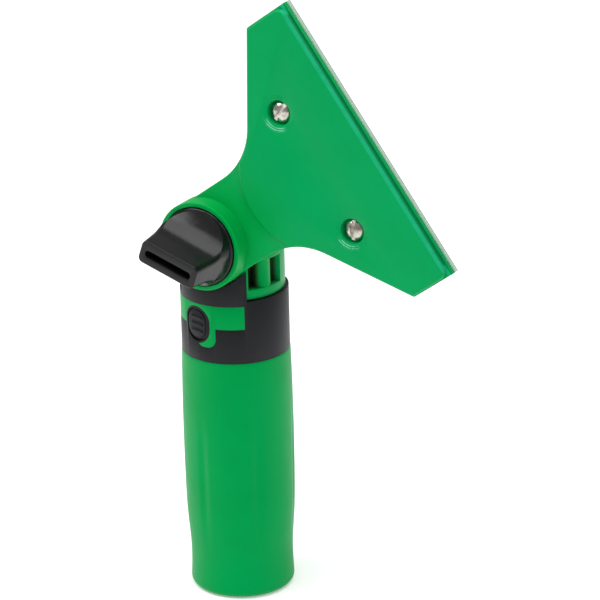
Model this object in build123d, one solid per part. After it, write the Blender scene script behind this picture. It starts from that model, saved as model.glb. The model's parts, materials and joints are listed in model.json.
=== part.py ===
from build123d import *
import math
import os

# Hand scraper with a tilting head, millimetres.
# +Z runs up the grip, the tilt axis runs along Y, and the knob faces -Y.
# The origin is the centre of the grip's open lower end.

# grip
GRIP_TOP = 85.0
GRIP_R = 18.5
CORE_R = 13.5
CORE_HEAD_R = 15.0
COLLAR_R = 18.0
COLLAR_TOP = 106.5
LIP_Z = 104.9
SOCKET_R = 11.0
SOCKET_DEPTH = 60.0
LINER_R = 12.5
RIM_SEAT_R = 15.1
FLUTES = 6
FIRST_FLUTE = -100.0

# plug that carries the tilting joint
PLUG_R = 9.5
PLUG_FOOT = 73.0
PLUG_TOP = 113.0
GROOVE_Z = (96.5, 98.5)
GROOVE_R = 7.8

# lock button, on a radius turned a little off the joint's face
BUTTON_ANGLE = -104.0
BUTTON_Z = 97.5
BUTTON_W = 8.9
BUTTON_H = 11.2
BEZEL = 0.7
LATCH_SHIFT = 1.6
BUTTON_TRAVEL = 2.0

# tilting joint
PIVOT_Z = 126.5
TILT = 54.0
JOINT_FACE_Y = -12.4
KNUCKLE_R = 16.9
KNUCKLE_Z = 106.9
SHOULDER_Z = 121.0
ARCH_R = 13.6
BOLT_R = 3.0
BOLT_TIP_Y = -33.0
BOLT_SEAT_Y = 9.0

# head, drawn upright with the tilt axis at the origin
BOSS_R = 15.0
NECK_HALF = 14.4
NECK_Y = -15.6
HEAD_BACK_Y = -12.9
RING_Y = -21.6
RING_SEAT_Y = -19.1
PANEL_Y = -16.6
PLATE_HALF = 50.0
PLATE_SHOULDER = 57.2
PLATE_EDGE = 73.9
SCREW_SPAN = 22.0
SCREW_UP = 51.0
SCREW_SEAT_Y = -14.4
BLADE_T = 0.6
BLADE_FOOT = 57.4
BLADE_EDGE = 75.1

# knob
FLANGE_R = 13.2
FLANGE_FRONT_Y = -22.3
FLANGE_BACK_Y = -20.15
WING_END_Y = -40.5
KNOB_R = 12.6
SCOOP_Y = -22.8
SCOOP_Z = 12.9
WING_W = 21.5
WING_T = 7.8
WING_TURN = -19.0

os.makedirs("parts", exist_ok=True)


def slab(sketch, y0, y1):
    """Sketch in the X-Z plane, solid from y0 back to y1."""
    return extrude(Plane.XZ.offset(-y1) * sketch, y1 - y0)


def rod_y(radius, y0, y1, x=0.0, z=0.0):
    return slab(Pos(x, z) * Circle(radius), y0, y1)


def rod_z(radius, z0, z1):
    return Pos(0, 0, z0) * extrude(Circle(radius), z1 - z0)


def hex_y(across_flats, y0, y1, x=0.0, z=0.0):
    sketch = Pos(x, z) * RegularPolygon(across_flats / math.sqrt(3), 6)
    return slab(sketch, y0, y1)


def block(x0, x1, y0, y1, z0, z1):
    centre = Pos((x0 + x1) / 2, (y0 + y1) / 2, (z0 + z1) / 2)
    return centre * Box(x1 - x0, y1 - y0, z1 - z0)


def sector(r0, r1, z0, z1, a0, a1):
    """Part of a ring about Z between two angles in degrees."""
    profile = Pos((r0 + r1) / 2, (z0 + z1) / 2) * Rectangle(r1 - r0, z1 - z0)
    return Rot(0, 0, a0) * revolve(Plane.XZ * profile, Axis.Z, a1 - a0)


def radial_plane(radius=0.0):
    """Plane facing out through the lock button, X to its right and Y up."""
    a = math.radians(BUTTON_ANGLE)
    out = Vector(math.cos(a), math.sin(a), 0)
    right = Vector(-math.sin(a), math.cos(a), 0)
    return Plane(origin=out * radius + Vector(0, 0, BUTTON_Z), x_dir=right, z_dir=out)


def radial(sketch, r0, r1):
    """Prism along the button's radius from r0 out to r1."""
    return extrude(radial_plane(r0) * sketch, r1 - r0)


def stadium(width, height):
    return Rot(0, 0, 90) * SlotOverall(height, width)


def tilt(shape):
    """Put a shape drawn upright about the pivot into the stored pose."""
    return Pos(0, 0, PIVOT_Z) * (Rot(0, TILT, 0) * shape)


# ---- grip ----

def button_hole(extra=0.0):
    return stadium(BUTTON_W + 0.4 + 2 * extra, BUTTON_H + 0.4 + 2 * extra)


def inlay():
    """Green window that the collar leaves open round the button's right side."""
    band = sector(CORE_HEAD_R - 0.1, COLLAR_R, 97.0, LIP_Z, -159.0, -49.0)
    lobe = Pos(3.6, -2.9) * RectangleRounded(7.2, 8.8, 3.0)
    lobe += Pos(3.6, 0) * Rectangle(7.2, 6)
    pad = radial(lobe, 12.0, 22.0) & rod_z(COLLAR_R, 80, 110)
    pad -= rod_z(CORE_HEAD_R - 0.1, 80, 110)
    return band + pad - radial(button_hole(BEZEL), 10.0, 22.0)


def latch_outline(grow):
    ring = Circle(12.0 + grow)
    tongue = Pos(0, 12.5) * Rectangle(6.0 + 2 * grow, 6.0)
    return ring + tongue


def latch_place(shape, shift):
    return Rot(0, 0, BUTTON_ANGLE - 90) * (Pos(0, shift, 0) * shape)


def make_handle_core():
    core = rod_z(CORE_R, 3.0, 86.0) + rod_z(CORE_HEAD_R, GRIP_TOP, LIP_Z)
    core += inlay()
    core -= rod_z(LINER_R, 0, 62.0)
    core -= rod_z(PLUG_R + 0.05, 72.0, 110.0)
    z0, z1 = GROOVE_Z
    slot = extrude(latch_outline(0.3), z1 - z0)
    core -= latch_place(Pos(0, 0, z0) * slot, LATCH_SHIFT)
    core -= latch_place(Pos(0, 0, z0) * slot, LATCH_SHIFT - BUTTON_TRAVEL)
    core -= radial(button_hole(), 11.6, 22.0)
    for side in (-1, 1):
        core -= radial(Pos(0, 3.6 * side) * Circle(1.7), 10.6, 12.0)
    return core


def flute(angle):
    """Long shallow groove, deepest half way up the grip."""
    depth, half, tube = 0.5, 26.0, 5.0
    major = half ** 2 / (2 * depth)
    centre = GRIP_R - depth + tube + major
    ring = Rot(90, 0, 0) * Torus(major, tube)
    return Rot(0, 0, angle) * (Pos(centre, 0, 42.0) * ring)


def make_grip_sleeve():
    stations = [(17.45, 2.0), (17.2, 13.0), (18.2, 29.0), (GRIP_R, 50.0), (18.4, 70.0), (18.1, GRIP_TOP)]
    side = Spline(*stations)
    rim = RadiusArc((15.7, 0.0), (17.45, 2.0), -1.9)
    foot = Polyline((CORE_R, GRIP_TOP), (CORE_R, 3.0), (RIM_SEAT_R, 3.0),
                    (RIM_SEAT_R, 0.0), (15.7, 0.0))
    top = Line((18.1, GRIP_TOP), (CORE_R, GRIP_TOP))
    sleeve = revolve(Plane.XZ * make_face([foot, rim, side, top]), Axis.Z)
    for i in range(FLUTES):
        sleeve -= flute(FIRST_FLUTE + i * 360.0 / FLUTES)
    return sleeve


def make_pole_insert():
    liner = rod_z(LINER_R, 3.0, 62.0) + rod_z(RIM_SEAT_R, 0.0, 3.0)
    return liner - rod_z(SOCKET_R, 0.0, SOCKET_DEPTH)


def make_collar():
    ring = rod_z(COLLAR_R, GRIP_TOP, COLLAR_TOP) - rod_z(CORE_HEAD_R, GRIP_TOP, LIP_Z)
    ring -= rod_z(12.0, LIP_Z, COLLAR_TOP)
    wedge = block(-12.5, 12.5, -COLLAR_R, -12.9, LIP_Z, 120.0) & rod_z(COLLAR_R, LIP_Z, 120.0)
    wedge -= rod_y(BOSS_R + 0.6, -30.0, -5.0, 0, PIVOT_Z)
    collar = ring + wedge
    collar -= inlay()
    collar -= radial(button_hole(), 14.0, 22.0)
    return collar


# ---- lock ----

def make_lock_button():
    cap = radial(stadium(BUTTON_W, BUTTON_H), 13.8, 17.3)
    face = radial(stadium(BUTTON_W - 1.6, BUTTON_H - 1.6), 17.0, 17.7)
    cap += face
    for step in (-2.4, 0.0, 2.4):
        cap += radial(Pos(0, step) * SlotOverall(5.0, 1.0), 17.4, 18.1)
    z0, z1 = GROOVE_Z
    tongue = Pos(0, 0, z0 + 0.3) * extrude(latch_outline(0.0), z1 - z0 - 0.6)
    return cap - latch_place(tongue, LATCH_SHIFT)


def make_latch_plate():
    z0, z1 = GROOVE_Z
    plate = extrude(latch_outline(0.0) - Circle(10.0), z1 - z0 - 0.6)
    return latch_place(Pos(0, 0, z0 + 0.3) * plate, LATCH_SHIFT)


def make_button_springs():
    coil = Helix(pitch=0.8, height=2.8, radius=1.25)
    wire = sweep(Plane(coil @ 0, z_dir=coil % 0) * Circle(0.16), path=coil, is_frenet=True)
    turns = []
    for side in (-1, 1):
        frame = radial_plane(10.8).location * Pos(0, 3.6 * side, 0)
        turns.append(frame * wire)
    return Compound(children=turns)


# ---- joint ----

def make_spigot():
    plug = rod_z(PLUG_R, PLUG_FOOT, PLUG_TOP)
    plug = chamfer(plug.edges().group_by(Axis.Z)[0], 1.5)
    plug -= rod_z(PLUG_R + 1, *GROOVE_Z) - rod_z(GROOVE_R, *GROOVE_Z)
    plug -= rod_z(5.2, PLUG_FOOT, 104.0)
    return plug - rod_z(2.6, 104.0, PLUG_TOP)


def make_spigot_screw():
    screw = rod_z(2.5, 103.0, 121.0) + rod_z(4.6, 101.0, 104.0)
    screw = chamfer(screw.edges().group_by(Axis.Z)[-1], 0.6)
    for angle in (0, 90):
        screw -= Rot(0, 0, angle) * block(-2.6, 2.6, -0.6, 0.6, 100.5, 102.6)
    return screw


def knuckle_pocket(side):
    """Wide side opening with one rounded rib standing in it."""
    opening = sector(10.8, 20.0, 110.0, 119.5, -43.0, 5.0)
    post = Rot(0, 0, -18.5) * (Pos(13.9, 0, 109.0) * extrude(Circle(2.9), 12.0))
    cut = opening - post
    return cut if side > 0 else mirror(cut, Plane.YZ)


def make_knuckle():
    body = rod_z(KNUCKLE_R, KNUCKLE_Z, 145.0) + rod_z(13.5, COLLAR_TOP, KNUCKLE_Z)
    body &= block(-30, 30, JOINT_FACE_Y, 30, 100, 150)
    outline = Pos(0, PIVOT_Z) * Circle(ARCH_R) + Pos(0, SHOULDER_Z - 8.0) * Rectangle(40, 16)
    outline += Pos(0, 120.0) * Rectangle(2 * ARCH_R, 13.0)
    corner = Pos(0, 105.0) * Rectangle(40, 10)
    body &= slab(outline + corner, -20, 20)
    for side in (-1, 1):
        body -= knuckle_pocket(side)
    body -= rod_z(PLUG_R, 100.0, PLUG_TOP) + rod_z(2.5, PLUG_TOP, 121.0)
    body -= rod_y(BOLT_R + 0.05, -20, 20, 0, PIVOT_Z)
    body -= hex_y(10.2, BOLT_SEAT_Y, 20, 0, PIVOT_Z)
    body -= rod_y(7.6, 13.4, 20, 0, PIVOT_Z)
    return body


def make_friction_disc():
    disc = rod_y(12.2, HEAD_BACK_Y + 0.05, JOINT_FACE_Y, 0, PIVOT_Z)
    return disc - rod_y(3.4, -14, -11, 0, PIVOT_Z)


def make_pivot_bolt():
    bolt = rod_y(BOLT_R, BOLT_TIP_Y, BOLT_SEAT_Y, 0, PIVOT_Z)
    bolt = chamfer(bolt.edges().group_by(Axis.Y)[0], 0.6)
    return bolt + hex_y(10.0, BOLT_SEAT_Y, 13.0, 0, PIVOT_Z)


def make_bolt_cap():
    cap = rod_y(7.6, 13.4, 15.6, 0, PIVOT_Z)
    return fillet(cap.edges().group_by(Axis.Y)[-1], 0.8)


# ---- head ----

def head_outline():
    points = [(-NECK_HALF, 0), (NECK_HALF, 0), (NECK_HALF, 29.8), (PLATE_HALF, PLATE_SHOULDER)]
    points += [(PLATE_HALF, PLATE_EDGE), (-PLATE_HALF, PLATE_EDGE)]
    points += [(-PLATE_HALF, PLATE_SHOULDER), (-NECK_HALF, 29.8)]
    sketch = make_face(Polyline(*points, close=True))
    inner = [v for v in sketch.vertices() if abs(abs(v.X) - NECK_HALF) < 0.01 and v.Y > 1]
    sketch = fillet(inner, 24.0)
    outer = [v for v in sketch.vertices() if abs(v.Y - PLATE_SHOULDER) < 0.01]
    return fillet(outer, 1.2)


def panel_outline():
    """Raised face of the plate, round-nosed towards the boss."""
    mask = Pos(0, 45.3) * Circle(23.8) + Pos(0, 52.0) * Rectangle(120, 43.6)
    sketch = offset(head_outline(), -0.4) & mask
    sketch &= Pos(0, 40) * Rectangle(120, 66.6)
    corners = [v for v in sketch.vertices() if abs(v.Y - 73.3) < 0.01]
    return fillet(corners, 4.0)


def make_head():
    base = slab(head_outline(), NECK_Y, HEAD_BACK_Y)
    faces = base.edges().group_by(Axis.Y)
    base = fillet(faces[0] + faces[-1], 0.4)
    boss = rod_y(BOSS_R, RING_Y, HEAD_BACK_Y)
    base += fillet(boss.edges().group_by(Axis.Y)[0], 0.5)
    panel = slab(panel_outline(), PANEL_Y, -14.6)
    rim = panel.edges().group_by(Axis.Y)[0]
    panel = fillet(rim, 0.9)
    base -= block(-60, 60, -20, -14.6, 66.0, 80.0)
    head = base + panel
    head -= rod_y(FLANGE_R + 0.35, RING_Y - 1, RING_SEAT_Y)
    head -= rod_y(BOLT_R + 0.08, -30, 0)
    for x in (-SCREW_SPAN, SCREW_SPAN):
        head -= Pos(x, -38.7, SCREW_UP) * Sphere(22.9)
        head -= rod_y(4.2, -20, SCREW_SEAT_Y, x, SCREW_UP)
        head -= rod_y(2.15, -20, -10, x, SCREW_UP)
    for x in (-8.0, 0.0, 8.0):
        head += block(x - 0.9, x + 0.9, HEAD_BACK_Y, -10.4, 19.5, 40.5)
    return head


def make_blade():
    y1 = HEAD_BACK_Y + BLADE_T
    profile = Polyline((HEAD_BACK_Y, BLADE_FOOT), (y1, BLADE_FOOT), (y1, BLADE_EDGE - 1.6),
                       (HEAD_BACK_Y + 0.08, BLADE_EDGE), (HEAD_BACK_Y, BLADE_EDGE), close=True)
    blade = extrude(Plane.YZ.offset(-PLATE_HALF) * make_face(profile), 2 * PLATE_HALF)
    for x in (-32.0, 32.0):
        blade -= rod_y(2.1, -20, 0, x, 64.8)
    return blade


def make_blade_clamp():
    shape = offset(head_outline(), -2.6) & (Pos(0, 56.9) * Rectangle(120, 29.0))
    clamp = slab(shape, HEAD_BACK_Y, -8.9)
    clamp = chamfer(clamp.edges().group_by(Axis.Y)[-1], 0.8)
    clamp -= block(-60, 60, -13, HEAD_BACK_Y + BLADE_T, 57.2, 80)
    for x in (-32.0, 32.0):
        clamp += rod_y(2.0, HEAD_BACK_Y, -11, x, 64.8)
    for x in (-SCREW_SPAN, SCREW_SPAN):
        clamp -= rod_y(2.15, -14, -5, x, SCREW_UP)
        clamp -= hex_y(7.1, -11.7, -5, x, SCREW_UP)
    return clamp


def make_clamp_screws():
    screws = []
    for x, slot_turn in ((-SCREW_SPAN, -20.0), (SCREW_SPAN, -52.0)):
        dome = Pos(x, SCREW_SEAT_Y + 2.93, SCREW_UP) * Sphere(4.93)
        head = rod_y(3.85, SCREW_SEAT_Y - 2.0, SCREW_SEAT_Y, x, SCREW_UP) & dome
        shank = rod_y(2.0, SCREW_SEAT_Y - 0.1, -9.0, x, SCREW_UP)
        slot = Rot(0, slot_turn, 0) * block(-0.62, 0.62, -20, SCREW_SEAT_Y - 0.7, -5, 5)
        screws.append(head + shank - Pos(x, 0, SCREW_UP) * slot)
    return screws


def make_clamp_nuts():
    nuts = []
    for x in (-SCREW_SPAN, SCREW_SPAN):
        nuts.append(hex_y(7.0, -11.7, -9.3, x, SCREW_UP) - rod_y(2.02, -14, -5, x, SCREW_UP))
    return nuts


# ---- knob ----

def knob_side():
    """Side view of the wing: scooped above and below, from the flange to the end face."""
    half = WING_T / 2
    flat_y = -34.0
    waist = Line((SCOOP_Y, SCOOP_Z), (SCOOP_Y, -SCOOP_Z))
    upper = ThreePointArc((SCOOP_Y, SCOOP_Z), (-27.4, 6.4), (flat_y, half + 0.3))
    upper_flat = Line((flat_y, half + 0.3), (WING_END_Y, half))
    end = Line((WING_END_Y, half), (WING_END_Y, -half))
    lower_flat = Line((WING_END_Y, -half), (flat_y, -half - 0.3))
    lower = ThreePointArc((flat_y, -half - 0.3), (-27.4, -6.4), (SCOOP_Y, -SCOOP_Z))
    return make_face([waist, upper, upper_flat, end, lower_flat, lower])


def make_knob():
    flange = rod_y(FLANGE_R, FLANGE_FRONT_Y, FLANGE_BACK_Y)
    flange = fillet(flange.edges().group_by(Axis.Y)[0], 0.6)
    tip = WING_W / 2
    taper = Polyline((-12.5, -22.0), (12.5, -22.0), (tip, WING_END_Y), (-tip, WING_END_Y), close=True)
    wing = Pos(0, 0, -14) * extrude(make_face(taper), 28)
    wing &= Pos(-14, 0, 0) * extrude(Plane.YZ * knob_side(), 28)
    long_edges = [e for e in wing.edges() if e.center().Y < -34]
    corners = [e for e in long_edges if abs(e.center().Z) > 3 and abs(e.center().X) > 5]
    wing = fillet(corners, 1.8)
    knob = flange + rod_y(KNOB_R, -23.0, FLANGE_BACK_Y)
    knob += wing & rod_y(KNOB_R, WING_END_Y, -22.0)
    knob = fillet([e for e in knob.edges() if abs(e.center().Y - WING_END_Y) < 0.01], 0.4)
    knob = knob - rod_y(4.6, -31.0, -19.0) - rod_y(3.4, -34.6, -19.0)
    knob -= slab(SlotOverall(17.6, 2.5), WING_END_Y - 1, WING_END_Y + 4.0)
    return Pos(0, 0, PIVOT_Z) * (Rot(0, -WING_TURN, 0) * knob)


def make_knob_insert():
    insert = rod_y(4.6, -31.0, -21.0, 0, PIVOT_Z)
    return insert - rod_y(BOLT_R + 0.05, -40, -10, 0, PIVOT_Z)


def make_thrust_washer():
    washer = rod_y(8.0, -20.1, RING_SEAT_Y, 0, PIVOT_Z)
    return washer - rod_y(BOLT_R + 0.1, -30, -10, 0, PIVOT_Z)


def save(name, shape):
    solids = shape if isinstance(shape, list) else [shape]
    if len(solids) > 1:
        shape = Compound(children=solids)
    export_step(shape, f"parts/{name}.step")


save("handle_core", make_handle_core())
save("grip_sleeve", make_grip_sleeve())
save("pole_insert", make_pole_insert())
save("collar", make_collar())
save("lock_button", make_lock_button())
save("latch_plate", make_latch_plate())
save("button_springs", make_button_springs())
save("spigot", make_spigot())
save("spigot_screw", make_spigot_screw())
save("knuckle", make_knuckle())
save("friction_disc", make_friction_disc())
save("pivot_bolt", make_pivot_bolt())
save("bolt_cap", make_bolt_cap())
save("head", tilt(make_head()))
save("blade", tilt(make_blade()))
save("blade_clamp", tilt(make_blade_clamp()))
save("clamp_screws", [tilt(s) for s in make_clamp_screws()])
save("clamp_nuts", [tilt(n) for n in make_clamp_nuts()])
save("thrust_washer", make_thrust_washer())
save("knob", make_knob())
save("knob_insert", make_knob_insert())
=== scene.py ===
import json
import math

import bmesh
import bpy
from mathutils import Matrix, Vector


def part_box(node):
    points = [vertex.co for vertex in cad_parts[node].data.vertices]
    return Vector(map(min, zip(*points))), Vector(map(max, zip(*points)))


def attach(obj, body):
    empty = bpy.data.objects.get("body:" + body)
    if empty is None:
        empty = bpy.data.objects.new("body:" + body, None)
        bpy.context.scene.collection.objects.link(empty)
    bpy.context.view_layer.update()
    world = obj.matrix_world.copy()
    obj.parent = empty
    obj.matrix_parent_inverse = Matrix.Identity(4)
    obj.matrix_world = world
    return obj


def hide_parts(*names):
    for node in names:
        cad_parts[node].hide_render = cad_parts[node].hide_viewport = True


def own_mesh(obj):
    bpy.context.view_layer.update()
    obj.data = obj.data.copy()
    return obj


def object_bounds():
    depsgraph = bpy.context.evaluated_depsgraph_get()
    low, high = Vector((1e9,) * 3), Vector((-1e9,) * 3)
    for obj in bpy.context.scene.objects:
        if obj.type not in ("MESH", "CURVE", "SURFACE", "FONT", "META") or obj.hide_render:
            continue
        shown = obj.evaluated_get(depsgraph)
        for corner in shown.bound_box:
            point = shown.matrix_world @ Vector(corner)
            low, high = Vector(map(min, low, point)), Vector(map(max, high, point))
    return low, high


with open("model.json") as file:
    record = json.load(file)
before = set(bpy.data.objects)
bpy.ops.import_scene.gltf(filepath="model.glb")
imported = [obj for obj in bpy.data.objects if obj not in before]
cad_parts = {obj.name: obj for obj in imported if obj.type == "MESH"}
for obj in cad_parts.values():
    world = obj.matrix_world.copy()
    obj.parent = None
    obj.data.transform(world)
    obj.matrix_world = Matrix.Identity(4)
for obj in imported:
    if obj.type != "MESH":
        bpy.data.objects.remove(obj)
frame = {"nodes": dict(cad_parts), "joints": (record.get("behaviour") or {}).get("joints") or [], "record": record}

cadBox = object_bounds()
mm = 0.001
tau = 2 * math.pi
mergeGap = 0.5e-6  # corners closer than this are one
print("frame loaded:", len(frame["nodes"]), "nodes")


def jointNamed(name):
    return next(j for j in frame["joints"] if j["name"] == name)


def mountNamed(name):
    return next(m for m in frame["record"]["mounts"] if m["name"] == name)


def looseBoxes(node):
    # the low and high corner of each separate solid of one node, lowest solid first
    work = bmesh.new()
    work.from_mesh(frame["nodes"][node].data)
    bmesh.ops.remove_doubles(work, verts=work.verts, dist=mergeGap)
    left = set(work.verts)
    boxes = []
    while left:
        island, edge = set(), [left.pop()]
        while edge:
            vert = edge.pop()
            island.add(vert)
            for link in vert.link_edges:
                other = link.other_vert(vert)
                if other in left:
                    left.discard(other)
                    edge.append(other)
        low = Vector([min(v.co[i] for v in island) for i in range(3)])
        high = Vector([max(v.co[i] for v in island) for i in range(3)])
        boxes.append((low, high))
    work.free()
    return sorted(boxes, key=lambda box: box[0].z)


def centre(box):
    return (box[0] + box[1]) / 2


pivot = Vector(jointNamed("head_tilt")["pos_m"])
headUp = Vector(mountNamed("blade_edge")["axis"]).normalized()  # from the pivot out to the blade edge
headTilt = math.atan2(headUp.x, headUp.z)
screwBoxes = looseBoxes("clamp_screws")


class Wire:
    # one output socket that can be used in sums
    def __init__(self, bench, socket):
        self.bench = bench
        self.socket = socket

    def sum(self, operation, first, second):
        return self.bench.out("ShaderNodeMath", {"operation": operation}, {0: first, 1: second})

    def __add__(self, other):
        return self.sum("ADD", self, other)

    def __radd__(self, other):
        return self.sum("ADD", other, self)

    def __sub__(self, other):
        return self.sum("SUBTRACT", self, other)

    def __rsub__(self, other):
        return self.sum("SUBTRACT", other, self)

    def __mul__(self, other):
        return self.sum("MULTIPLY", self, other)

    def __rmul__(self, other):
        return self.sum("MULTIPLY", other, self)

    def __truediv__(self, other):
        return self.sum("DIVIDE", self, other)

    def __rtruediv__(self, other):
        return self.sum("DIVIDE", other, self)


class Bench:
    # makes the nodes of one tree
    def __init__(self, tree):
        self.tree = tree

    def node(self, kind, settings=None, sockets=None):
        made = self.tree.nodes.new(kind)
        for key, value in (settings or {}).items():
            setattr(made, key, value)
        for key, value in (sockets or {}).items():
            for one in value if isinstance(value, list) else [value]:  # a list fills a socket with many links
                if isinstance(one, Wire):
                    self.tree.links.new(one.socket, made.inputs[key])
                else:
                    made.inputs[key].default_value = one
        return made

    def out(self, kind, settings=None, sockets=None, output=0):
        return Wire(self, self.node(kind, settings, sockets).outputs[output])

    def maths(self, operation, *values):
        return self.out("ShaderNodeMath", {"operation": operation}, dict(enumerate(values)))

    def split(self, vector):
        made = self.node("ShaderNodeSeparateXYZ", None, {0: vector})
        return [Wire(self, s) for s in made.outputs]

    def ease(self, value, start, end, low=0.0, high=1.0):
        settings = {"interpolation_type": "SMOOTHSTEP"}
        sockets = {"Value": value, "From Min": start, "From Max": end, "To Min": low, "To Max": high}
        return self.out("ShaderNodeMapRange", settings, sockets)


class Finish(Bench):
    # one material, with a Principled shader at its end
    def __init__(self, name):
        self.material = bpy.data.materials.new(name)
        self.material.use_nodes = True
        super().__init__(self.material.node_tree)
        self.tree.nodes.clear()
        self.place = self.out("ShaderNodeTexCoord", output=3)

    def turned(self, angle, middle=(0, 0, 0)):
        # coordinates turned about Y and centred
        moved = self.out("ShaderNodeVectorMath", {"operation": "SUBTRACT"}, {0: self.place, 1: middle})
        return self.out("ShaderNodeMapping", {"vector_type": "POINT"}, {0: moved, "Rotation": (0, angle, 0)})

    def stretched(self, vector, scale):
        return self.out("ShaderNodeVectorMath", {"operation": "MULTIPLY"}, {0: vector, 1: scale})

    def noise(self, vector, scale, detail=3.0, roughness=0.5, distortion=0.0):
        sockets = {"Vector": vector, "Scale": scale, "Detail": detail, "Roughness": roughness}
        sockets["Distortion"] = distortion
        return self.out("ShaderNodeTexNoise", {"noise_dimensions": "3D"}, sockets)

    def blend(self, factor, first, second):
        return self.out("ShaderNodeMix", {"data_type": "RGBA"}, {0: factor, 6: first, 7: second}, output=2)

    def bump(self, height, depth, under=None):
        sockets = {"Height": height, "Strength": 1.0, "Distance": depth}
        if under:
            sockets["Normal"] = under
        return self.out("ShaderNodeBump", None, sockets)

    def seatRings(self, middle, arc):
        # turned rings in the dish round one screw, and painted glints: pale arcs on one side of the rings, where
        # light would catch them
        local = self.out("ShaderNodeVectorMath", {"operation": "SUBTRACT"}, {0: self.place, 1: middle})
        x, y, z = self.split(local)
        radius = self.maths("SQRT", x * x + z * z)
        band = self.ease(radius, arc["inner"], arc["inner"] + 0.2 * mm)
        band = band * self.ease(radius, arc["outer"], arc["fade"], 1.0, 0.0)
        band = band * self.ease(y, arc["depth"], arc["depth"] + 0.3 * mm, 1.0, 0.0)
        ripple = self.maths("SINE", radius * (tau / arc["pitch"]))
        toward = (x * arc["side"][0] + z * arc["side"][1]) / radius
        cloud = self.noise(self.place, 700.0, 3.0, 0.6)
        seatGlints = band * self.ease(toward, 0.62, 0.93) * self.ease(ripple, -0.5, 0.6)
        seatGlints = seatGlints * self.ease(cloud, 0.3, 0.55)
        return band, seatGlints, ripple

    def close(self, **sockets):
        named = {key.replace("_", " "): value for key, value in sockets.items()}
        shader = self.node("ShaderNodeBsdfPrincipled", {"distribution": "MULTI_GGX"}, named)
        self.node("ShaderNodeOutputMaterial", None, {0: Wire(self, shader.outputs[0])})
        return self.material


def greenPlastic(name, look):
    # satin moulded polypropylene: fine eroded grain, soft mottling, light scuffs
    f = Finish(name)
    mottle = f.noise(f.place, look["mottle"], 4.0, 0.55)
    grain = f.noise(f.place, look["grain"], 2.0, 0.6)
    flow = f.noise(f.stretched(f.turned(headTilt), (1.0, 1.0, 0.22)), 90.0, 3.0, 0.5, 0.6)
    scuffs = f.noise(f.stretched(f.turned(headTilt + 0.5), (1.0, 1.0, 0.05)), 900.0, 2.0, 0.7)
    scuff = f.ease(scuffs, 0.66, 0.78) * f.ease(mottle, 0.45, 0.7)
    colour = f.blend(f.ease(mottle, 0.3, 0.7), look["shade"], look["tone"])
    # painted shade: the green turns darker and less blue close to the pivot, standing in for the shade round the
    # ring, knuckle and collar
    reach = f.out("ShaderNodeVectorMath", {"operation": "DISTANCE"}, {0: f.place, 1: tuple(pivot)}, output=1)
    nearShade = f.ease(reach, look["nearShadeStart"], look["nearShadeEnd"], 1.0, 0.0)
    colour = f.blend(nearShade * look["nearShadeMix"], colour, look["nearShadeTone"])
    colour = f.blend(scuff * look["scuffMix"], colour, look["scuffTone"])
    rough = look["rough"] + f.ease(flow, 0.3, 0.7, -0.035, 0.035) + f.ease(grain, 0.3, 0.7, -0.03, 0.03)
    rough = rough + scuff * look["scuffMix"]
    waves = f.bump(flow, look["waveDepth"])
    skin = f.bump(grain, look["grainDepth"], waves)
    skin = f.bump(scuff, -look["scuffDepth"], skin)
    if look["edge"]:
        edge = look["edge"]
        up = f.split(f.turned(-headTilt, tuple(pivot)))[2]
        # painted highlight: a pale band along the plate's rounded blade edge, broken up by noise
        paleMix = f.ease(up, edge["start"], edge["full"]) * f.ease(up, edge["lip"], edge["end"], 1.0, 0.0)
        paleMix = paleMix * f.ease(f.noise(f.place, 260.0, 3.0, 0.6), 0.25, 0.6, 0.55, 1.0)
        # painted shade: a dark line in the inner corner at the foot of the blade-edge step
        step = f.ease(up, edge["lip"], edge["end"])
        step = step * f.ease(up, edge["end"] + 0.1 * mm, edge["end"] + 0.35 * mm, 1.0, 0.0)
        colour = f.blend(paleMix * 0.6, colour, edge["tone"])
        colour = f.blend(step * 0.7, colour, edge["stepShadeTone"])
    # painted shade: the knuckle's pockets are darkened to near black inside, standing in for their shadow
    if look["pocketShade"]:
        pocketShade = look["pocketShade"]
        x, y, z = f.split(f.place)
        radius = f.maths("SQRT", x * x + y * y)
        toward = (x * math.cos(pocketShade["facing"]) + y * math.sin(pocketShade["facing"])) / radius
        pocketShadeMask = f.ease(radius, pocketShade["floor"], pocketShade["mouth"], 1.0, 0.0)
        side = math.cos(pocketShade["halfAngle"])
        pocketShadeMask = pocketShadeMask * f.ease(toward, side - pocketShade["sideFade"], side)
        pocketShadeMask = pocketShadeMask * f.ease(z, pocketShade["low"], pocketShade["low"] + 0.3 * mm)
        pocketShadeMask = pocketShadeMask * f.ease(z, pocketShade["high"], pocketShade["high"] + 0.2 * mm, 1.0, 0.0)
        colour = f.blend(pocketShadeMask * pocketShade["strength"], colour, pocketShade["tone"])
    for middle in look["seats"]:
        band, seatGlints, ripple = f.seatRings(middle, look["arc"])
        # painted glints: pale arcs on the seat rings
        colour = f.blend(seatGlints * 0.75, colour, look["seatGlintTone"])
        rough = rough - band * 0.1
        skin = f.bump(ripple * band, look["arc"]["rippleDepth"], skin)
    return f.close(Base_Color=colour, Roughness=rough, Normal=skin, IOR=look["ior"],
                   Specular_IOR_Level=look["gloss"], Specular_Tint=look["glossTint"])


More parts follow.
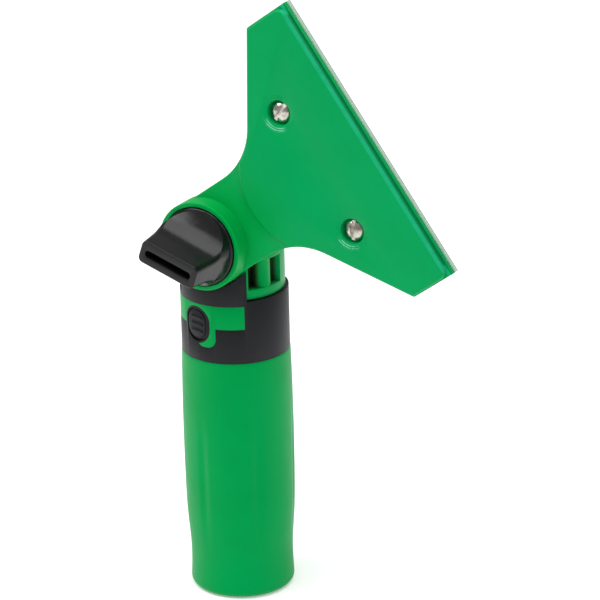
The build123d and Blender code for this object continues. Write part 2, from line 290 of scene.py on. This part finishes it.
def blackPlastic(name, look):
    # charcoal nylon with an eroded skin, paler where hands rub it
    f = Finish(name)
    mottle = f.noise(f.place, 70.0, 4.0, 0.55)
    grain = f.noise(f.place, look["grain"], 2.0, 0.6)
    dust = f.noise(f.place, 420.0, 4.0, 0.7)
    paleMix = f.ease(mottle, 0.48, 0.72)
    colour = f.blend(paleMix, look["deep"], look["tone"])
    colour = f.blend(f.ease(dust, 0.62, 0.75) * look["dust"], colour, look["dustTone"])
    rough = look["rough"] - paleMix * 0.06 + f.ease(grain, 0.3, 0.7, -0.04, 0.04)
    rough = rough + f.ease(dust, 0.6, 0.75, 0.0, 0.08)
    waveDepth = 0.06 * mm
    skin = f.bump(grain, look["grainDepth"], f.bump(mottle, waveDepth))
    return f.close(Base_Color=colour, Roughness=rough, Normal=skin, IOR=1.5, Specular_IOR_Level=look["gloss"])


def turnedSteel(name, look):
    # lathe-turned and plated: fine rings about each screw's own axis
    f = Finish(name)
    local = f.out("ShaderNodeAttribute", {"attribute_name": look["attribute"]}, output=1)
    flat = f.stretched(local, (1.0, 1.0, 0.0))
    radius = f.out("ShaderNodeVectorMath", {"operation": "LENGTH"}, {0: flat}, output=1)
    rings = f.out("ShaderNodeTexNoise", {"noise_dimensions": "1D"},
                  {"W": radius, "Scale": 5200.0, "Detail": 3.0})
    tarnish = f.noise(f.place, 260.0, 4.0, 0.6)
    colour = f.blend(f.ease(tarnish, 0.35, 0.7), look["deep"], look["tone"])
    colour = f.blend(f.ease(rings, 0.3, 0.7) * 0.25, colour, look["deep"])
    rough = look["rough"] + f.ease(rings, 0.3, 0.7, -0.05, 0.05) + f.ease(tarnish, 0.5, 0.8, 0.0, 0.1)
    ringDepth = 0.012 * mm
    skin = f.bump(rings, ringDepth)
    return f.close(Base_Color=colour, Metallic=1.0, Roughness=rough, Normal=skin)


def groundSteel(name, look):
    # blade stock: grinding marks run across the strip, and the last millimetres are honed smoother; that strip is
    # also painted near white with less metal shine, a painted reflection, and the very tip is painted darker grey,
    # painted shade on its bevel
    f = Finish(name)
    sheet = f.turned(-headTilt, tuple(pivot))
    up = f.split(sheet)[2]
    marks = f.noise(f.stretched(sheet, (1.0, 1.0, 0.02)), 4200.0, 3.0, 0.6)
    stain = f.noise(sheet, 160.0, 5.0, 0.6)
    honedGlint = f.ease(up, look["honeStart"], look["honeEnd"])
    tipShade = f.ease(up, look["tipStart"], look["tipEnd"])
    colour = f.blend(f.ease(stain, 0.4, 0.75), look["tone"], look["deep"])
    # painted reflection: the honed strip near white; painted shade: the tip darker grey
    colour = f.blend(honedGlint, colour, look["edgeGlintTone"])
    colour = f.blend(tipShade, colour, look["tipShadeTone"])
    rough = look["rough"] + f.ease(marks, 0.3, 0.7, -0.06, 0.06) - honedGlint * 0.1
    markDepth = 0.003 * mm
    skin = f.bump(marks, markDepth)
    return f.close(Base_Color=colour, Metallic=1.0 - honedGlint * look["scatter"], Roughness=rough, Normal=skin)


def plainMetal(name, look):
    # hidden hardware: plated or turned, with a cloudy surface
    f = Finish(name)
    cloud = f.noise(f.place, 320.0, 4.0, 0.6)
    drawn = f.noise(f.stretched(f.place, (1.0, 1.0, 0.06)), 3000.0, 2.0, 0.6)
    colour = f.blend(f.ease(cloud, 0.3, 0.75), look["tone"], look["deep"])
    rough = look["rough"] + f.ease(cloud, 0.3, 0.7, -0.05, 0.07) + f.ease(drawn, 0.3, 0.7, -0.03, 0.03)
    drawnDepth = 0.01 * mm
    skin = f.bump(drawn, drawnDepth)
    return f.close(Base_Color=colour, Metallic=1.0, Roughness=rough, Normal=skin)


def fibre(name, look):
    # pressed fibre friction disc: flecked and matt
    f = Finish(name)
    fleck = f.noise(f.stretched(f.place, (1.0, 1.0, 0.3)), 2200.0, 4.0, 0.7)
    colour = f.blend(f.ease(fleck, 0.35, 0.65), look["deep"], look["tone"])
    rough = look["rough"] + f.ease(fleck, 0.3, 0.7, -0.06, 0.06)
    fleckDepth = 0.06 * mm
    return f.close(Base_Color=colour, Roughness=rough, Normal=f.bump(fleck, fleckDepth))


def tint(red, green, blue):
    return (red, green, blue, 1.0)


mouldedGreen = {
    "ior": 1.49, "gloss": 0.32, "glossTint": tint(0.04, 0.9, 0.6), "scuffMix": 0.12, "scuffDepth": 0.012 * mm,
    "edge": None, "pocketShade": None, "seats": (),
}
headLook = {
    **mouldedGreen,
    "tone": tint(0.0, 0.305, 0.076), "shade": tint(0.0, 0.285, 0.068), "scuffTone": tint(0.03, 0.40, 0.17),
    # the darker tone close to the pivot is painted shade
    "nearShadeTone": tint(0.0, 0.315, 0.045), "nearShadeMix": 0.8, "nearShadeStart": 16 * mm, "nearShadeEnd": 40 * mm,
    # the band's pale tone is a painted highlight on the rounded blade edge, and its dark tone is painted shade at
    # the step's foot
    "edge": {"start": 71.7 * mm, "full": 72.4 * mm, "lip": 73.15 * mm, "end": 73.35 * mm,
             "tone": tint(0.02, 0.42, 0.22), "stepShadeTone": tint(0.0, 0.10, 0.03)},
    # the pale seat tone and the arcs' side give the painted glints on the seat rings
    "seats": [centre(box) for box in screwBoxes], "seatGlintTone": tint(0.22, 0.62, 0.44),
    "arc": {"inner": 4.5 * mm, "outer": 6.1 * mm, "fade": 6.5 * mm, "pitch": 0.7 * mm, "depth": 0.5 * mm,
            "side": (-0.30, -0.95), "rippleDepth": 0.03 * mm},
    "mottle": 45.0, "grain": 2600.0, "grainDepth": 0.018 * mm, "waveDepth": 0.08 * mm,
    "rough": 0.40,
}
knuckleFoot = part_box("knuckle")[0][2]
# painted shade inside the knuckle's pockets: where it lies and how dark it is
knucklePocketShade = {
    "floor": 14.2 * mm, "mouth": 16.4 * mm, "low": knuckleFoot + 3.2 * mm, "high": knuckleFoot + 12.9 * mm,
    "facing": math.radians(-19), "halfAngle": math.radians(25), "sideFade": 0.005,
    "tone": tint(0.022, 0.030, 0.012), "strength": 0.93,
}
headGreen = greenPlastic("headGreen", headLook)
knuckleGreen = greenPlastic("knuckleGreen", {**headLook, "seats": (), "edge": None, "pocketShade": knucklePocketShade})
gripGreen = greenPlastic("gripGreen", {
    **mouldedGreen,
    "tone": tint(0.0, 0.308, 0.066), "shade": tint(0.0, 0.285, 0.056), "scuffTone": tint(0.03, 0.40, 0.16),
    # the darker tone near the collar is painted shade
    "nearShadeTone": tint(0.0, 0.305, 0.05), "nearShadeMix": 0.3, "nearShadeStart": 30 * mm, "nearShadeEnd": 60 * mm,
    "mottle": 38.0, "grain": 2200.0, "grainDepth": 0.026 * mm, "waveDepth": 0.07 * mm,
    "rough": 0.46, "gloss": 0.18,
})
collarBlack = blackPlastic("collarBlack", {
    "deep": tint(0.0055, 0.0060, 0.0080), "tone": tint(0.0095, 0.0100, 0.0130),
    "dustTone": tint(0.035, 0.036, 0.04),
    "grain": 2400.0, "grainDepth": 0.03 * mm, "rough": 0.46, "gloss": 0.2, "dust": 0.18,
})
knobBlack = blackPlastic("knobBlack", {
    "deep": tint(0.004, 0.004, 0.0045), "tone": tint(0.009, 0.009, 0.010),
    "dustTone": tint(0.03, 0.03, 0.032),
    "grain": 1900.0, "grainDepth": 0.004 * mm, "rough": 0.23, "gloss": 0.30, "dust": 0.05,
})
socketBlack = blackPlastic("socketBlack", {
    "deep": tint(0.010, 0.010, 0.011), "tone": tint(0.018, 0.018, 0.02), "dustTone": tint(0.05, 0.05, 0.05),
    "grain": 1500.0, "grainDepth": 0.04 * mm, "rough": 0.55, "gloss": 0.4, "dust": 0.2,
})
screwSteel = turnedSteel("screwSteel", {
    "attribute": "turnedAt", "tone": tint(0.74, 0.71, 0.64), "deep": tint(0.30, 0.28, 0.24), "rough": 0.2,
})
bladeSteel = groundSteel("bladeSteel", {
    # the near white tone is a painted reflection on the honed strip, and the tip's grey is painted shade on its
    # bevel
    "tone": tint(0.62, 0.63, 0.64), "deep": tint(0.46, 0.46, 0.46), "edgeGlintTone": tint(0.95, 0.95, 0.95),
    "rough": 0.36, "honeStart": 73.3 * mm, "honeEnd": 73.7 * mm, "tipStart": 74.75 * mm, "tipEnd": 74.9 * mm,
    "tipShadeTone": tint(0.52, 0.52, 0.53), "scatter": 0.55,
})
platedSteel = plainMetal("platedSteel", {
    "tone": tint(0.6, 0.6, 0.58), "deep": tint(0.4, 0.4, 0.38), "rough": 0.32,
})
brass = plainMetal("brass", {"tone": tint(0.78, 0.58, 0.25), "deep": tint(0.55, 0.38, 0.14), "rough": 0.3})
discFibre = fibre("discFibre", {
    "tone": tint(0.12, 0.09, 0.06), "deep": tint(0.05, 0.04, 0.03), "rough": 0.82,
})

nodeFinish = {
    "handle_core": gripGreen, "grip_sleeve": gripGreen, "pole_insert": socketBlack, "collar": collarBlack,
    "lock_button": collarBlack, "latch_plate": platedSteel, "button_springs": platedSteel,
    "spigot": socketBlack, "spigot_screw": platedSteel, "knuckle": knuckleGreen, "friction_disc": discFibre,
    "pivot_bolt": platedSteel, "bolt_cap": knobBlack, "head": headGreen, "blade": bladeSteel,
    "blade_clamp": headGreen, "clamp_screws": screwSteel, "clamp_nuts": screwSteel,
    "thrust_washer": platedSteel, "knob": knobBlack, "knob_insert": brass,
}
for node, finish in nodeFinish.items():
    for hold in frame["nodes"][node].material_slots:
        hold.material = finish
print("materials made:", len(bpy.data.materials))


def show(name, mesh):
    piece = bpy.data.objects.new(name, mesh)
    bpy.context.scene.collection.objects.link(piece)
    return piece


def settle(piece, sharp=math.radians(38)):
    # turns a piece with live modifiers into a plain mesh that faces outwards
    reader = bpy.context.evaluated_depsgraph_get()
    live = piece.evaluated_get(reader)
    mesh = bpy.data.meshes.new_from_object(live, preserve_all_data_layers=True, depsgraph=reader)
    piece.modifiers.clear()
    piece.data = mesh
    mesh.name = piece.name
    work = bmesh.new()
    work.from_mesh(mesh)
    if work.calc_volume(signed=True) < 0:
        bmesh.ops.reverse_faces(work, faces=work.faces)
    work.to_mesh(mesh)
    work.free()
    mesh.shade_smooth()
    mesh.set_sharp_from_angle(angle=sharp)
    return piece


def cleanCopy(node, name):
    # the CAD solid's surface, with its loose triangles merged
    work = bmesh.new()
    work.from_mesh(frame["nodes"][node].data)
    bmesh.ops.remove_doubles(work, verts=work.verts, dist=mergeGap)
    bmesh.ops.dissolve_limit(work, angle_limit=math.radians(0.5), verts=work.verts, edges=work.edges)
    work.verts.ensure_lookup_table()
    mesh = bpy.data.meshes.new(name)
    mesh.from_pydata([v.co[:] for v in work.verts], [], [[v.index for v in f.verts] for f in work.faces])
    work.free()
    return show(name, mesh)


def dress(piece, body, slot, *nodes):
    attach(piece, body)
    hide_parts(*nodes)
    print("piece made:", piece.name, len(piece.data.polygons), "faces")


def roundedCopy(node, name, width, body, slot, finish, angle=28):
    # a CAD solid again with its hard edges broken, as a moulding's are
    piece = cleanCopy(node, name)
    edge = piece.modifiers.new("edge", "BEVEL")
    edge.width = width
    edge.segments = 2
    edge.limit_method = "ANGLE"
    edge.angle_limit = math.radians(angle)
    edge.use_clamp_overlap = True
    edge.miter_outer = "MITER_ARC"
    even = piece.modifiers.new("even", "WEIGHTED_NORMAL")
    even.keep_sharp = True
    piece.data.materials.append(finish)
    settle(piece)
    dress(piece, body, slot, node)
    return piece


class Grower(Bench):
    # one Geometry Nodes tree with named inputs
    def __init__(self, name, inputs):
        tree = bpy.data.node_groups.new(name, "GeometryNodeTree")
        super().__init__(tree)
        tree.interface.new_socket("Geometry", in_out="INPUT", socket_type="NodeSocketGeometry")
        for title, (kind, value) in inputs.items():
            made = tree.interface.new_socket(title, in_out="INPUT", socket_type="NodeSocket" + kind)
            if value is not None:
                made.default_value = value
        tree.interface.new_socket("Geometry", in_out="OUTPUT", socket_type="NodeSocketGeometry")
        self.inputs = self.node("NodeGroupInput")

    def given(self, title):
        return Wire(self, self.inputs.outputs[title])

    def close(self, geometry):
        real = self.out("GeometryNodeRealizeInstances", None, {0: geometry})
        done = self.out("GeometryNodeSetMaterial", None, {0: real, "Material": self.given("Finish")})
        self.node("NodeGroupOutput", None, {0: done})
        return self.tree

    def tube(self, radius, length, sides, low):
        # a closed cylinder on local Z from low up
        body = self.out("GeometryNodeMeshCylinder", {"fill_type": "NGON"},
                        {"Vertices": sides, "Radius": radius, "Depth": length})
        lift = self.out("ShaderNodeCombineXYZ", None, {2: low + length * 0.5})
        return self.out("GeometryNodeTransform", None, {0: body, "Translation": lift})

    def cut(self, kind, first, second):
        meshes = {0: first, 1: second} if kind == "DIFFERENCE" else {1: [first, second]}
        return self.out("GeometryNodeMeshBoolean", {"operation": kind, "solver": "EXACT"}, meshes)


def grow(name, seedMesh, tree, values, finish):
    # puts a tree on a seed mesh with its inputs filled in
    piece = show(name, seedMesh)
    work = piece.modifiers.new("grow", "NODES")
    work.node_group = tree
    filled = {**values, "Finish": finish}
    for item in tree.interface.items_tree:
        if item.item_type == "SOCKET" and item.in_out == "INPUT" and item.name in filled:
            work[item.identifier] = filled[item.name]
    return piece


grip = {
    # the outline from the foot up: a share of the widest radius, and a height above the foot
    "outline": ((0.943, 2 * mm), (0.93, 13 * mm), (0.984, 29 * mm), (1.0, 50 * mm), (0.9946, 70 * mm)),
    "lip": 0.979, "perStation": 12, "skinRadius": 16.3 * mm,  # only what is wider than skinRadius is fluted
    "coreRadius": 13.5 * mm, "lining": 3 * mm, "rimWidth": 1.75 * mm, "rimHeight": 2 * mm,
    "around": 288, "flutes": 6, "fluteDepth": 0.5 * mm, "fluteHalfWidth": 2.6 * mm,
    "fluteMiddle": 42 * mm, "fluteHalfLength": 27 * mm, "firstFlute": math.radians(-100),
}


def smoothRun(points, count):
    # evenly spread points on a smooth run through a few stations
    made = []
    stations = [points[0]] + points + [points[-1]]
    for k in range(1, len(stations) - 2):
        a, b, c, d = (Vector(p) for p in stations[k - 1:k + 3])
        for i in range(count):
            t = i / count
            made.append(0.5 * ((2 * b) + (c - a) * t + (2 * a - 5 * b + 4 * c - d) * t * t
                               + (3 * b - a - 3 * c + d) * t ** 3))
    return made + [Vector(points[-1])]


def gripProfile():
    low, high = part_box("grip_sleeve")
    wide = (high[0] - low[0]) / 2
    foot, top = low[2], high[2]
    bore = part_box("pole_insert")[1][0]
    core = grip["coreRadius"]
    inner = foot + grip["lining"]
    lip = wide * grip["lip"]
    outer = [(wide * share, foot + height) for share, height in grip["outline"]]
    run = smoothRun(outer + [(lip, top - 0.5 * mm)], grip["perStation"])
    run += [Vector((lip - 0.15 * mm, top - 0.12 * mm)), Vector((lip - 0.5 * mm, top))]
    run += [Vector((core + (lip - core) * k / 3, top)) for k in (2, 1, 0)]
    run += [Vector((core, inner + (top - inner) * k / 6)) for k in range(5, -1, -1)]
    run += [Vector((bore, inner)), Vector((bore, (inner + foot) / 2)), Vector((bore, foot))]
    rim = outer[0][0] - grip["rimWidth"]
    for angle in (math.radians(a) for a in range(0, 90, 15)):
        run.append(Vector((rim + grip["rimWidth"] * math.sin(angle),
                           foot + grip["rimHeight"] * (1 - math.cos(angle)))))
    return run


def gripTree():
    g = Grower("gripTurning", {
        "Around": ("Int", 200), "Stations": ("Int", 60), "Flutes": ("Int", 6), "First Flute": ("Float", 0.0),
        "Flute Depth": ("Float", 0.0005), "Flute Half Width": ("Float", 0.002),
        "Flute Middle": ("Float", 0.04), "Flute Half Length": ("Float", 0.025),
        "Skin Radius": ("Float", 0.016), "Finish": ("Material", None),
    })
    stations = g.given("Stations")
    size = {"Size X": 1.0, "Size Y": 1.0, "Vertices X": g.given("Around") + 1, "Vertices Y": stations + 1}
    sheet = g.out("GeometryNodeMeshGrid", None, size)
    across, along = g.split(g.out("GeometryNodeInputPosition"))[:2]
    index = g.maths("MODULO", g.maths("ROUND", (along + 0.5) * stations), stations)
    source = {"Geometry": g.given("Geometry"), "Value": g.out("GeometryNodeInputPosition"), "Index": index}
    kind = {"data_type": "FLOAT_VECTOR", "domain": "POINT"}
    station = g.split(g.out("GeometryNodeSampleIndex", kind, source))
    radius, height = station[0], station[2]
    angle = (across + 0.5) * tau
    step = tau / g.given("Flutes")
    phase = g.maths("FRACT", (angle - g.given("First Flute")) / step + 0.5)
    aside = g.maths("ABSOLUTE", phase - 0.5) * step * radius
    groove = g.ease(aside, 0.0, g.given("Flute Half Width"), 1.0, 0.0)
    reach = (height - g.given("Flute Middle")) / g.given("Flute Half Length")
    run = g.maths("MAXIMUM", 1.0 - reach * reach, 0.0)
    skin = g.maths("GREATER_THAN", radius, g.given("Skin Radius"))
    radius = radius - groove * g.maths("SQRT", run) * run * skin * g.given("Flute Depth")
    spot = g.out("ShaderNodeCombineXYZ", None,
                 {0: radius * g.maths("COSINE", angle), 1: radius * g.maths("SINE", angle), 2: height})
    turned = g.out("GeometryNodeSetPosition", None, {0: sheet, "Position": spot})
    joined = g.out("GeometryNodeMergeByDistance", None, {0: turned, "Distance": 2 * mergeGap})
    return g.close(joined)


profile = gripProfile()
seed = bpy.data.meshes.new("gripStations")
seed.from_pydata([(p.x, 0, p.y) for p in profile], [], [])
sleeve = grow("gripSleeve", seed, gripTree(), {
    "Around": grip["around"], "Stations": len(profile), "Flutes": grip["flutes"],
    "First Flute": grip["firstFlute"], "Flute Depth": grip["fluteDepth"],
    "Flute Half Width": grip["fluteHalfWidth"], "Flute Middle": grip["fluteMiddle"],
    "Flute Half Length": grip["fluteHalfLength"], "Skin Radius": grip["skinRadius"],
}, gripGreen)
settle(sleeve)
dress(sleeve, "handle", "grip_green", "grip_sleeve")


screw = {
    "headRadius": 3.85 * mm, "headHeight": 2.0 * mm, "domeRadius": 4.93 * mm, "shankRadius": 2.0 * mm,
    "shankLength": 5.4 * mm, "slotWidth": 1.25 * mm, "slotDepth": 1.3 * mm, "slotLength": 20 * mm,
    "overlap": 0.3 * mm,  # the shank runs this far up into the head
    "domeRoom": 1 * mm,  # the blank stands this far above the dome that trims it
    "sharp": math.radians(30),  # edges past this angle stay crisp
    "turns": (-52.0, -20.0),  # each slot's angle from the head's length, lower screw first
}
nut = {
    "cornerRadius": 4.04 * mm, "height": 2.4 * mm, "boreRadius": 2.02 * mm,
    "ballRadius": 4.12 * mm,  # the ball that rounds off the six corners
}


def spread(g, whole):
    # stands one part at every seed point, turned by that point's own angle
    kept = g.out("GeometryNodeStoreNamedAttribute", {"data_type": "FLOAT_VECTOR", "domain": "POINT"},
                 {"Geometry": whole, "Name": "turnedAt", "Value": g.out("GeometryNodeInputPosition")})
    turn = g.out("GeometryNodeInputNamedAttribute", {"data_type": "FLOAT"}, {"Name": "turn"})
    face = g.out("ShaderNodeCombineXYZ", None, {0: math.pi / 2, 1: turn, 2: 0.0})
    points = g.out("GeometryNodeMeshToPoints", None, {0: g.given("Geometry"), "Radius": 0.001})
    stood = g.out("GeometryNodeInstanceOnPoints", None,
                  {"Points": points, "Instance": kept, "Rotation": face})
    return g.close(stood)


def screwTree():
    g = Grower("slottedScrew", {
        "Head Radius": ("Float", 0.004), "Head Height": ("Float", 0.002), "Dome Radius": ("Float", 0.005),
        "Shank Radius": ("Float", 0.002), "Shank Length": ("Float", 0.005), "Slot Width": ("Float", 0.001),
        "Slot Depth": ("Float", 0.001), "Finish": ("Material", None),
    })
    high = g.given("Head Height")
    ball = g.out("GeometryNodeMeshUVSphere", None,
                 {"Segments": 72, "Rings": 48, "Radius": g.given("Dome Radius")})
    sink = g.out("ShaderNodeCombineXYZ", None, {2: high - g.given("Dome Radius")})
    ball = g.out("GeometryNodeTransform", None, {0: ball, "Translation": sink})
    head = g.cut("INTERSECT", g.tube(g.given("Head Radius"), high + screw["domeRoom"], 72, 0.0), ball)
    length = g.given("Shank Length")
    shank = g.tube(g.given("Shank Radius"), length + screw["overlap"], 40, 0.0 - length)
    whole = g.cut("UNION", head, shank)
    deep = g.given("Slot Depth")
    sides = {0: g.given("Slot Width"), 1: screw["slotLength"], 2: deep * 2.0}
    size = g.out("ShaderNodeCombineXYZ", None, sides)
    slot = g.out("GeometryNodeMeshCube", None, {"Size": size})
    lift = g.out("ShaderNodeCombineXYZ", None, {2: high})
    slot = g.out("GeometryNodeTransform", None, {0: slot, "Translation": lift})
    whole = g.cut("DIFFERENCE", whole, slot)
    return spread(g, whole)


def nutTree():
    g = Grower("pocketNut", {
        "Corner Radius": ("Float", 0.004), "Height": ("Float", 0.0024), "Bore Radius": ("Float", 0.002),
        "Ball Radius": ("Float", 0.0041), "Finish": ("Material", None),
    })
    high = g.given("Height")
    block = g.tube(g.given("Corner Radius"), high, 6, high * -0.5)
    ball = g.out("GeometryNodeMeshUVSphere", None,
                 {"Segments": 60, "Rings": 40, "Radius": g.given("Ball Radius")})
    block = g.cut("INTERSECT", block, ball)
    hole = g.tube(g.given("Bore Radius"), high * 2.0, 36, high * -1.0)
    return spread(g, g.cut("DIFFERENCE", block, hole))


def pointSeed(name, spots, turns):
    mesh = bpy.data.meshes.new(name)
    mesh.from_pydata([tuple(s) for s in spots], [], [])
    held = mesh.attributes.new("turn", "FLOAT", "POINT")
    for entry, angle in zip(held.data, turns):
        entry.value = angle
    return mesh


seats = [Vector((centre(box).x, box[0].y + screw["headHeight"], centre(box).z)) for box in screwBoxes]
slotTurns = [headTilt + math.radians(t) for t in screw["turns"]]
screws = grow("clampScrewPair", pointSeed("screwSeats", seats, slotTurns), screwTree(), {
    "Head Radius": screw["headRadius"], "Head Height": screw["headHeight"],
    "Dome Radius": screw["domeRadius"],
    "Shank Radius": screw["shankRadius"], "Shank Length": screw["shankLength"],
    "Slot Width": screw["slotWidth"], "Slot Depth": screw["slotDepth"],
}, screwSteel)
settle(screws, screw["sharp"])
dress(screws, "scraper", "steel", "clamp_screws")

nutSpots = [centre(box) for box in looseBoxes("clamp_nuts")]
nuts = grow("clampNutPair", pointSeed("nutSeats", nutSpots, [headTilt] * len(nutSpots)), nutTree(), {
    "Corner Radius": nut["cornerRadius"], "Height": nut["height"], "Bore Radius": nut["boreRadius"],
    "Ball Radius": nut["ballRadius"],
}, screwSteel)
settle(nuts, screw["sharp"])
dress(nuts, "scraper", "steel", "clamp_nuts")


mouldings = (
    # node, piece, edge width, body, slot, finish
    ("collar", "collarShell", 0.3 * mm, "handle", "collar_black", collarBlack),
    ("handle_core", "coreInlay", 0.15 * mm, "handle", "grip_green", gripGreen),
    ("lock_button", "lockButton", 0.22 * mm, "button", "collar_black", collarBlack),
    ("knuckle", "knuckleBlock", 0.45 * mm, "handle", "head_green", knuckleGreen),
    ("head", "headFrame", 0.25 * mm, "scraper", "head_green", headGreen),
    ("blade_clamp", "clampPlate", 0.3 * mm, "scraper", "head_green", headGreen),
    ("knob", "wingKnob", 0.5 * mm, "knob", "knob_black", knobBlack),
)
for node, name, width, body, slot, finish in mouldings:
    roundedCopy(node, name, width, body, slot, finish)


coils = cleanCopy("button_springs", "buttonSprings")
coils.data.materials.append(platedSteel)
settle(coils)
dress(coils, "handle", "steel", "button_springs")
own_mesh(coils)


studio = {
    "floorTone": tint(0.92, 0.92, 0.92), "cloudTone": tint(0.88, 0.88, 0.89), "cloudMix": 0.03,
    "worldTone": tint(1.0, 1.0, 1.0), "worldLight": 0.45,
    "floorGlow": 0.25, "floorReach": 40.0, "floorGap": 0.4 * mm,
    "dimTone": tint(0.15, 0.15, 0.15), "fadeStart": 1.0, "fadeEnd": 3.2,
    "lights": (
        # name, azimuth, elevation, distance, size, power
        ("keyLight", -52.0, 50.0, 1.1, 0.7, 6.2),
        ("fillLight", 62.0, 46.0, 1.1, 0.35, 1.8),
        ("topLight", 10.0, 84.0, 1.2, 0.9, 7.0),
        ("rimLight", 160.0, 40.0, 1.2, 0.6, 3.0),
    ),
}
lens = {
    "azimuth": 30.33, "elevation": 20.75, "roll": -1.4, "focal": 212.27, "sensor": 36.0,
    "distance": 1.15757, "target": (0.025, 0.0, 0.105), "nearest": 0.05, "furthest": 50.0,
}


def lookAlong(azimuth, elevation):
    # the direction from the target back to the eye
    a, e = math.radians(azimuth), math.radians(elevation)
    return Vector((math.sin(a) * math.cos(e), -math.cos(a) * math.cos(e), math.sin(e)))


def facing(back, roll=0.0):
    right = Vector((0, 0, 1)).cross(back).normalized()
    up = back.cross(right)
    turn = math.radians(roll)
    side = math.cos(turn) * right + math.sin(turn) * up
    top = -math.sin(turn) * right + math.cos(turn) * up
    return Matrix((side, top, back)).transposed().to_4x4()


target = Vector(lens["target"])
back = lookAlong(lens["azimuth"], lens["elevation"])
eye = bpy.data.cameras.new("camera")
eye.lens = lens["focal"]
eye.sensor_width = lens["sensor"]
eye.clip_start = lens["nearest"]
eye.clip_end = lens["furthest"]
camera = bpy.data.objects.new("camera", eye)
camera.matrix_world = Matrix.Translation(target + back * lens["distance"]) @ facing(back, lens["roll"])
bpy.context.scene.collection.objects.link(camera)
bpy.context.scene.camera = camera

for name, azimuth, elevation, distance, size, power in studio["lights"]:
    lamp = bpy.data.lights.new(name, "AREA")
    lamp.shape = "DISK"
    lamp.size = size
    lamp.energy = power
    holder = bpy.data.objects.new(name, lamp)
    direction = lookAlong(azimuth, elevation)
    holder.matrix_world = Matrix.Translation(target + direction * distance) @ facing(direction)
    bpy.context.scene.collection.objects.link(holder)

world = bpy.data.worlds.new("studio")
world.use_nodes = True
world.node_tree.nodes["Background"].inputs["Color"].default_value = studio["worldTone"]
world.node_tree.nodes["Background"].inputs["Strength"].default_value = studio["worldLight"]
bpy.context.scene.world = world
bpy.context.scene.view_settings.view_transform = "Standard"


def paleFloor():
    f = Finish("paleFloor")
    cloud = f.noise(f.place, 3.0, 4.0, 0.5)
    colour = f.blend(f.ease(cloud, 0.3, 0.7) * studio["cloudMix"], studio["floorTone"], studio["cloudTone"])
    reach = f.out("ShaderNodeVectorMath", {"operation": "LENGTH"}, {0: f.place}, output=1)
    # the glow dims far off, so that the horizon doesn't show
    far = f.ease(reach, studio["fadeStart"], studio["fadeEnd"])
    return f.close(Base_Color=colour, Roughness=0.85 + f.ease(cloud, 0.3, 0.7, -0.03, 0.03),
                   Emission_Color=f.blend(far, studio["worldTone"], studio["dimTone"]),
                   Emission_Strength=studio["floorGlow"])


plane = bpy.data.meshes.new("floor")
reach = studio["floorReach"]
level = cadBox[0][2] - studio["floorGap"]
corners = [(x * reach, y * reach, level) for x, y in ((-1, -1), (1, -1), (1, 1), (-1, 1))]
plane.from_pydata(corners, [], [(0, 1, 2, 3)])
plane.materials.append(paleFloor())
show("floor", plane)
